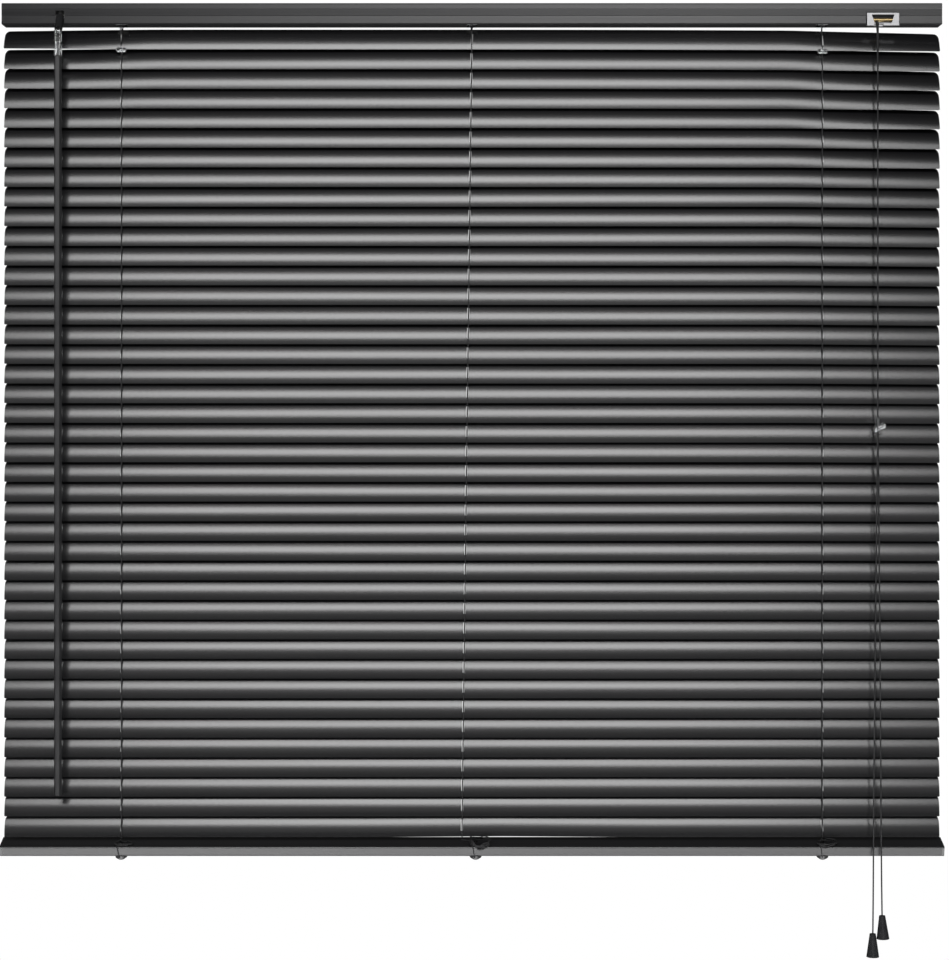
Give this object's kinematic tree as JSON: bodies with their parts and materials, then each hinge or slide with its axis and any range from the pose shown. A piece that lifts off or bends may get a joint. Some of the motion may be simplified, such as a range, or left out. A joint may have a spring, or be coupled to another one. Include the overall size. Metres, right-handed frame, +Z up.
{
  "type": "venetian blind",
  "caption": "Venetian blind with narrow black metal slats, a box headrail, a tilt wand at the left, pull cords with tassels at the right and a bottom rail.",
  "frame": {"origin": "centre of the headrail's back face", "axes": "+X right as seen from the room, -Y into the room, +Z up"},
  "size_m": [1.0048, 0.0406, 1.0126],
  "materials": {
    "painted_steel": "satin black paint",
    "painted_aluminium": "satin black paint on aluminium strip",
    "black_plastic": "glossy black moulded plastic",
    "grey_plastic": "moulded",
    "white_plastic": "moulded",
    "clear_plastic": "clear plastic",
    "zinc_steel": "zinc plated",
    "brass": "satin",
    "cord": "braided polyester"
  },
  "bodies": {
    "headrail": {"headrail": "painted_steel", "tilter_housing": "black_plastic", "drum_cradles": "clear_plastic", "cord_lock_body": "zinc_steel", "lift_cords": "cord"},
    "tilt_rod": {"tilt_rod": "zinc_steel", "rod_drums": "white_plastic"},
    "slat_01": {"slat_01": "painted_aluminium"},
    "slat_02": {"slat_02": "painted_aluminium"},
    "slat_03": {"slat_03": "painted_aluminium"},
    "slat_04": {"slat_04": "painted_aluminium"},
    "slat_05": {"slat_05": "painted_aluminium"},
    "slat_06": {"slat_06": "painted_aluminium"},
    "slat_07": {"slat_07": "painted_aluminium"},
    "slat_08": {"slat_08": "painted_aluminium"},
    "slat_09": {"slat_09": "painted_aluminium"},
    "slat_10": {"slat_10": "painted_aluminium"},
    "slat_11": {"slat_11": "painted_aluminium"},
    "slat_12": {"slat_12": "painted_aluminium"},
    "slat_13": {"slat_13": "painted_aluminium"},
    "slat_14": {"slat_14": "painted_aluminium"},
    "slat_15": {"slat_15": "painted_aluminium"},
    "slat_16": {"slat_16": "painted_aluminium"},
    "slat_17": {"slat_17": "painted_aluminium"},
    "slat_18": {"slat_18": "painted_aluminium"},
    "slat_19": {"slat_19": "painted_aluminium"},
    "slat_20": {"slat_20": "painted_aluminium"},
    "slat_21": {"slat_21": "painted_aluminium"},
    "slat_22": {"slat_22": "painted_aluminium"},
    "slat_23": {"slat_23": "painted_aluminium"},
    "slat_24": {"slat_24": "painted_aluminium"},
    "slat_25": {"slat_25": "painted_aluminium"},
    "slat_26": {"slat_26": "painted_aluminium"},
    "slat_27": {"slat_27": "painted_aluminium"},
    "slat_28": {"slat_28": "painted_aluminium"},
    "slat_29": {"slat_29": "painted_aluminium"},
    "slat_30": {"slat_30": "painted_aluminium"},
    "slat_31": {"slat_31": "painted_aluminium"},
    "slat_32": {"slat_32": "painted_aluminium"},
    "slat_33": {"slat_33": "painted_aluminium"},
    "slat_34": {"slat_34": "painted_aluminium"},
    "slat_35": {"slat_35": "painted_aluminium"},
    "slat_36": {"slat_36": "painted_aluminium"},
    "slat_37": {"slat_37": "painted_aluminium"},
    "slat_38": {"slat_38": "painted_aluminium"},
    "slat_39": {"slat_39": "painted_aluminium"},
    "slat_40": {"slat_40": "painted_aluminium"},
    "slat_41": {"slat_41": "painted_aluminium"},
    "tilter_worm": {"tilter_worm": "grey_plastic"},
    "wand_sleeve": {"wand_sleeve": "clear_plastic"},
    "tilt_wand": {"tilt_wand": "black_plastic"},
    "cord_lock_roller": {"cord_lock_roller": "brass"},
    "pull_cords": {"pull_cord_left": "cord", "pull_cord_right": "cord", "cord_tassels": "black_plastic", "cord_joiner": "clear_plastic"},
    "ladder_front": {"ladder_front_strings": "cord"},
    "ladder_rear": {"ladder_rear_strings": "cord"},
    "bottom_rail": {"bottom_rail": "painted_steel", "bottom_rail_plugs": "black_plastic"}
  },
  "joints": [
    {"name": "rod_turn", "type": "hinge", "parent": "headrail", "child": "tilt_rod", "pos_m": [0, -0.0125, -0.002], "axis": [1, 0, 0], "range_deg": [-128, 0]},
    {"name": "slat_01_tilt", "type": "hinge", "parent": "headrail", "child": "slat_01", "pos_m": [0, -0.0125, -0.0246], "axis": [1, 0, 0], "range_deg": [-128, 0]},
    {"name": "slat_02_tilt", "type": "hinge", "parent": "headrail", "child": "slat_02", "pos_m": [0, -0.0125, -0.0456], "axis": [1, 0, 0], "range_deg": [-128, 0]},
    {"name": "slat_03_tilt", "type": "hinge", "parent": "headrail", "child": "slat_03", "pos_m": [0, -0.0125, -0.0666], "axis": [1, 0, 0], "range_deg": [-128, 0]},
    {"name": "slat_04_tilt", "type": "hinge", "parent": "headrail", "child": "slat_04", "pos_m": [0, -0.0125, -0.0876], "axis": [1, 0, 0], "range_deg": [-128, 0]},
    {"name": "slat_05_tilt", "type": "hinge", "parent": "headrail", "child": "slat_05", "pos_m": [0, -0.0125, -0.1086], "axis": [1, 0, 0], "range_deg": [-128, 0]},
    {"name": "slat_06_tilt", "type": "hinge", "parent": "headrail", "child": "slat_06", "pos_m": [0, -0.0125, -0.1296], "axis": [1, 0, 0], "range_deg": [-128, 0]},
    {"name": "slat_07_tilt", "type": "hinge", "parent": "headrail", "child": "slat_07", "pos_m": [0, -0.0125, -0.1506], "axis": [1, 0, 0], "range_deg": [-128, 0]},
    {"name": "slat_08_tilt", "type": "hinge", "parent": "headrail", "child": "slat_08", "pos_m": [0, -0.0125, -0.1716], "axis": [1, 0, 0], "range_deg": [-128, 0]},
    {"name": "slat_09_tilt", "type": "hinge", "parent": "headrail", "child": "slat_09", "pos_m": [0, -0.0125, -0.1926], "axis": [1, 0, 0], "range_deg": [-128, 0]},
    {"name": "slat_10_tilt", "type": "hinge", "parent": "headrail", "child": "slat_10", "pos_m": [0, -0.0125, -0.2136], "axis": [1, 0, 0], "range_deg": [-128, 0]},
    {"name": "slat_11_tilt", "type": "hinge", "parent": "headrail", "child": "slat_11", "pos_m": [0, -0.0125, -0.2346], "axis": [1, 0, 0], "range_deg": [-128, 0]},
    {"name": "slat_12_tilt", "type": "hinge", "parent": "headrail", "child": "slat_12", "pos_m": [0, -0.0125, -0.2556], "axis": [1, 0, 0], "range_deg": [-128, 0]},
    {"name": "slat_13_tilt", "type": "hinge", "parent": "headrail", "child": "slat_13", "pos_m": [0, -0.0125, -0.2766], "axis": [1, 0, 0], "range_deg": [-128, 0]},
    {"name": "slat_14_tilt", "type": "hinge", "parent": "headrail", "child": "slat_14", "pos_m": [0, -0.0125, -0.2976], "axis": [1, 0, 0], "range_deg": [-128, 0]},
    {"name": "slat_15_tilt", "type": "hinge", "parent": "headrail", "child": "slat_15", "pos_m": [0, -0.0125, -0.3186], "axis": [1, 0, 0], "range_deg": [-128, 0]},
    {"name": "slat_16_tilt", "type": "hinge", "parent": "headrail", "child": "slat_16", "pos_m": [0, -0.0125, -0.3396], "axis": [1, 0, 0], "range_deg": [-128, 0]},
    {"name": "slat_17_tilt", "type": "hinge", "parent": "headrail", "child": "slat_17", "pos_m": [0, -0.0125, -0.3606], "axis": [1, 0, 0], "range_deg": [-128, 0]},
    {"name": "slat_18_tilt", "type": "hinge", "parent": "headrail", "child": "slat_18", "pos_m": [0, -0.0125, -0.3816], "axis": [1, 0, 0], "range_deg": [-128, 0]},
    {"name": "slat_19_tilt", "type": "hinge", "parent": "headrail", "child": "slat_19", "pos_m": [0, -0.0125, -0.4026], "axis": [1, 0, 0], "range_deg": [-128, 0]},
    {"name": "slat_20_tilt", "type": "hinge", "parent": "headrail", "child": "slat_20", "pos_m": [0, -0.0125, -0.4236], "axis": [1, 0, 0], "range_deg": [-128, 0]},
    {"name": "slat_21_tilt", "type": "hinge", "parent": "headrail", "child": "slat_21", "pos_m": [0, -0.0125, -0.4446], "axis": [1, 0, 0], "range_deg": [-128, 0]},
    {"name": "slat_22_tilt", "type": "hinge", "parent": "headrail", "child": "slat_22", "pos_m": [0, -0.0125, -0.4656], "axis": [1, 0, 0], "range_deg": [-128, 0]},
    {"name": "slat_23_tilt", "type": "hinge", "parent": "headrail", "child": "slat_23", "pos_m": [0, -0.0125, -0.4866], "axis": [1, 0, 0], "range_deg": [-128, 0]},
    {"name": "slat_24_tilt", "type": "hinge", "parent": "headrail", "child": "slat_24", "pos_m": [0, -0.0125, -0.5076], "axis": [1, 0, 0], "range_deg": [-128, 0]},
    {"name": "slat_25_tilt", "type": "hinge", "parent": "headrail", "child": "slat_25", "pos_m": [0, -0.0125, -0.5286], "axis": [1, 0, 0], "range_deg": [-128, 0]},
    {"name": "slat_26_tilt", "type": "hinge", "parent": "headrail", "child": "slat_26", "pos_m": [0, -0.0125, -0.5496], "axis": [1, 0, 0], "range_deg": [-128, 0]},
    {"name": "slat_27_tilt", "type": "hinge", "parent": "headrail", "child": "slat_27", "pos_m": [0, -0.0125, -0.5706], "axis": [1, 0, 0], "range_deg": [-128, 0]},
    {"name": "slat_28_tilt", "type": "hinge", "parent": "headrail", "child": "slat_28", "pos_m": [0, -0.0125, -0.5916], "axis": [1, 0, 0], "range_deg": [-128, 0]},
    {"name": "slat_29_tilt", "type": "hinge", "parent": "headrail", "child": "slat_29", "pos_m": [0, -0.0125, -0.6126], "axis": [1, 0, 0], "range_deg": [-128, 0]},
    {"name": "slat_30_tilt", "type": "hinge", "parent": "headrail", "child": "slat_30", "pos_m": [0, -0.0125, -0.6336], "axis": [1, 0, 0], "range_deg": [-128, 0]},
    {"name": "slat_31_tilt", "type": "hinge", "parent": "headrail", "child": "slat_31", "pos_m": [0, -0.0125, -0.6546], "axis": [1, 0, 0], "range_deg": [-128, 0]},
    {"name": "slat_32_tilt", "type": "hinge", "parent": "headrail", "child": "slat_32", "pos_m": [0, -0.0125, -0.6756], "axis": [1, 0, 0], "range_deg": [-128, 0]},
    {"name": "slat_33_tilt", "type": "hinge", "parent": "headrail", "child": "slat_33", "pos_m": [0, -0.0125, -0.6966], "axis": [1, 0, 0], "range_deg": [-128, 0]},
    {"name": "slat_34_tilt", "type": "hinge", "parent": "headrail", "child": "slat_34", "pos_m": [0, -0.0125, -0.7176], "axis": [1, 0, 0], "range_deg": [-128, 0]},
    {"name": "slat_35_tilt", "type": "hinge", "parent": "headrail", "child": "slat_35", "pos_m": [0, -0.0125, -0.7386], "axis": [1, 0, 0], "range_deg": [-128, 0]},
    {"name": "slat_36_tilt", "type": "hinge", "parent": "headrail", "child": "slat_36", "pos_m": [0, -0.0125, -0.7596], "axis": [1, 0, 0], "range_deg": [-128, 0]},
    {"name": "slat_37_tilt", "type": "hinge", "parent": "headrail", "child": "slat_37", "pos_m": [0, -0.0125, -0.7806], "axis": [1, 0, 0], "range_deg": [-128, 0]},
    {"name": "slat_38_tilt", "type": "hinge", "parent": "headrail", "child": "slat_38", "pos_m": [0, -0.0125, -0.8016], "axis": [1, 0, 0], "range_deg": [-128, 0]},
    {"name": "slat_39_tilt", "type": "hinge", "parent": "headrail", "child": "slat_39", "pos_m": [0, -0.0125, -0.8226], "axis": [1, 0, 0], "range_deg": [-128, 0]},
    {"name": "slat_40_tilt", "type": "hinge", "parent": "headrail", "child": "slat_40", "pos_m": [0, -0.0125, -0.8436], "axis": [1, 0, 0], "range_deg": [-128, 0]},
    {"name": "slat_41_tilt", "type": "hinge", "parent": "headrail", "child": "slat_41", "pos_m": [0, -0.0125, -0.8646], "axis": [1, 0, 0], "range_deg": [-128, 0]},
    {"name": "worm_turn", "type": "hinge", "parent": "headrail", "child": "tilter_worm", "pos_m": [-0.438, -0.036, -0.022], "axis": [0, -0.5446, -0.8387], "range_deg": [-1536, 0]},
    {"name": "wand_swing", "type": "hinge", "parent": "headrail", "child": "wand_sleeve", "pos_m": [-0.438, -0.036, -0.022], "axis": [-1, 0, 0], "range_deg": [0, 60]},
    {"name": "wand_turn", "type": "hinge", "parent": "wand_sleeve", "child": "tilt_wand", "pos_m": [-0.438, -0.036, -0.022], "axis": [0, 0, -1], "range_deg": [-1536, 0]},
    {"name": "roller_turn", "type": "hinge", "parent": "headrail", "child": "cord_lock_roller", "pos_m": [0.437, -0.0224, -0.0066], "axis": [1, 0, 0], "continuous": true},
    {"name": "cord_swing", "type": "hinge", "parent": "headrail", "child": "pull_cords", "pos_m": [0.4306, -0.03, -0.013], "axis": [0, 1, 0], "range_deg": [-15, 15]},
    {"name": "ladder_front_hold", "type": "hinge", "parent": "slat_01", "child": "ladder_front", "pos_m": [0, -0.01656, -0.03789], "axis": [1, 0, 0], "range_deg": [0, 128]},
    {"name": "ladder_rear_hold", "type": "hinge", "parent": "slat_01", "child": "ladder_rear", "pos_m": [0, -0.00782, -0.0093], "axis": [1, 0, 0], "range_deg": [0, 128]},
    {"name": "rail_tilt", "type": "hinge", "parent": "headrail", "child": "bottom_rail", "pos_m": [0, -0.0125, -0.888], "axis": [1, 0, 0], "range_deg": [-21.77, 0.01]}
  ],
  "couplings": [
    {"joint": "slat_01_tilt", "follows": "rod_turn", "ratio": 1},
    {"joint": "slat_02_tilt", "follows": "rod_turn", "ratio": 1},
    {"joint": "slat_03_tilt", "follows": "rod_turn", "ratio": 1},
    {"joint": "slat_04_tilt", "follows": "rod_turn", "ratio": 1},
    {"joint": "slat_05_tilt", "follows": "rod_turn", "ratio": 1},
    {"joint": "slat_06_tilt", "follows": "rod_turn", "ratio": 1},
    {"joint": "slat_07_tilt", "follows": "rod_turn", "ratio": 1},
    {"joint": "slat_08_tilt", "follows": "rod_turn", "ratio": 1},
    {"joint": "slat_09_tilt", "follows": "rod_turn", "ratio": 1},
    {"joint": "slat_10_tilt", "follows": "rod_turn", "ratio": 1},
    {"joint": "slat_11_tilt", "follows": "rod_turn", "ratio": 1},
    {"joint": "slat_12_tilt", "follows": "rod_turn", "ratio": 1},
    {"joint": "slat_13_tilt", "follows": "rod_turn", "ratio": 1},
    {"joint": "slat_14_tilt", "follows": "rod_turn", "ratio": 1},
    {"joint": "slat_15_tilt", "follows": "rod_turn", "ratio": 1},
    {"joint": "slat_16_tilt", "follows": "rod_turn", "ratio": 1},
    {"joint": "slat_17_tilt", "follows": "rod_turn", "ratio": 1},
    {"joint": "slat_18_tilt", "follows": "rod_turn", "ratio": 1},
    {"joint": "slat_19_tilt", "follows": "rod_turn", "ratio": 1},
    {"joint": "slat_20_tilt", "follows": "rod_turn", "ratio": 1},
    {"joint": "slat_21_tilt", "follows": "rod_turn", "ratio": 1},
    {"joint": "slat_22_tilt", "follows": "rod_turn", "ratio": 1},
    {"joint": "slat_23_tilt", "follows": "rod_turn", "ratio": 1},
    {"joint": "slat_24_tilt", "follows": "rod_turn", "ratio": 1},
    {"joint": "slat_25_tilt", "follows": "rod_turn", "ratio": 1},
    {"joint": "slat_26_tilt", "follows": "rod_turn", "ratio": 1},
    {"joint": "slat_27_tilt", "follows": "rod_turn", "ratio": 1},
    {"joint": "slat_28_tilt", "follows": "rod_turn", "ratio": 1},
    {"joint": "slat_29_tilt", "follows": "rod_turn", "ratio": 1},
    {"joint": "slat_30_tilt", "follows": "rod_turn", "ratio": 1},
    {"joint": "slat_31_tilt", "follows": "rod_turn", "ratio": 1},
    {"joint": "slat_32_tilt", "follows": "rod_turn", "ratio": 1},
    {"joint": "slat_33_tilt", "follows": "rod_turn", "ratio": 1},
    {"joint": "slat_34_tilt", "follows": "rod_turn", "ratio": 1},
    {"joint": "slat_35_tilt", "follows": "rod_turn", "ratio": 1},
    {"joint": "slat_36_tilt", "follows": "rod_turn", "ratio": 1},
    {"joint": "slat_37_tilt", "follows": "rod_turn", "ratio": 1},
    {"joint": "slat_38_tilt", "follows": "rod_turn", "ratio": 1},
    {"joint": "slat_39_tilt", "follows": "rod_turn", "ratio": 1},
    {"joint": "slat_40_tilt", "follows": "rod_turn", "ratio": 1},
    {"joint": "slat_41_tilt", "follows": "rod_turn", "ratio": 1},
    {"joint": "worm_turn", "follows": "rod_turn", "ratio": 12},
    {"joint": "wand_turn", "follows": "rod_turn", "ratio": 12},
    {"joint": "ladder_front_hold", "follows": "rod_turn", "ratio": -1},
    {"joint": "ladder_rear_hold", "follows": "rod_turn", "ratio": -1},
    {"joint": "rail_tilt", "follows": "rod_turn", "ratio": 0.17}
  ]
}
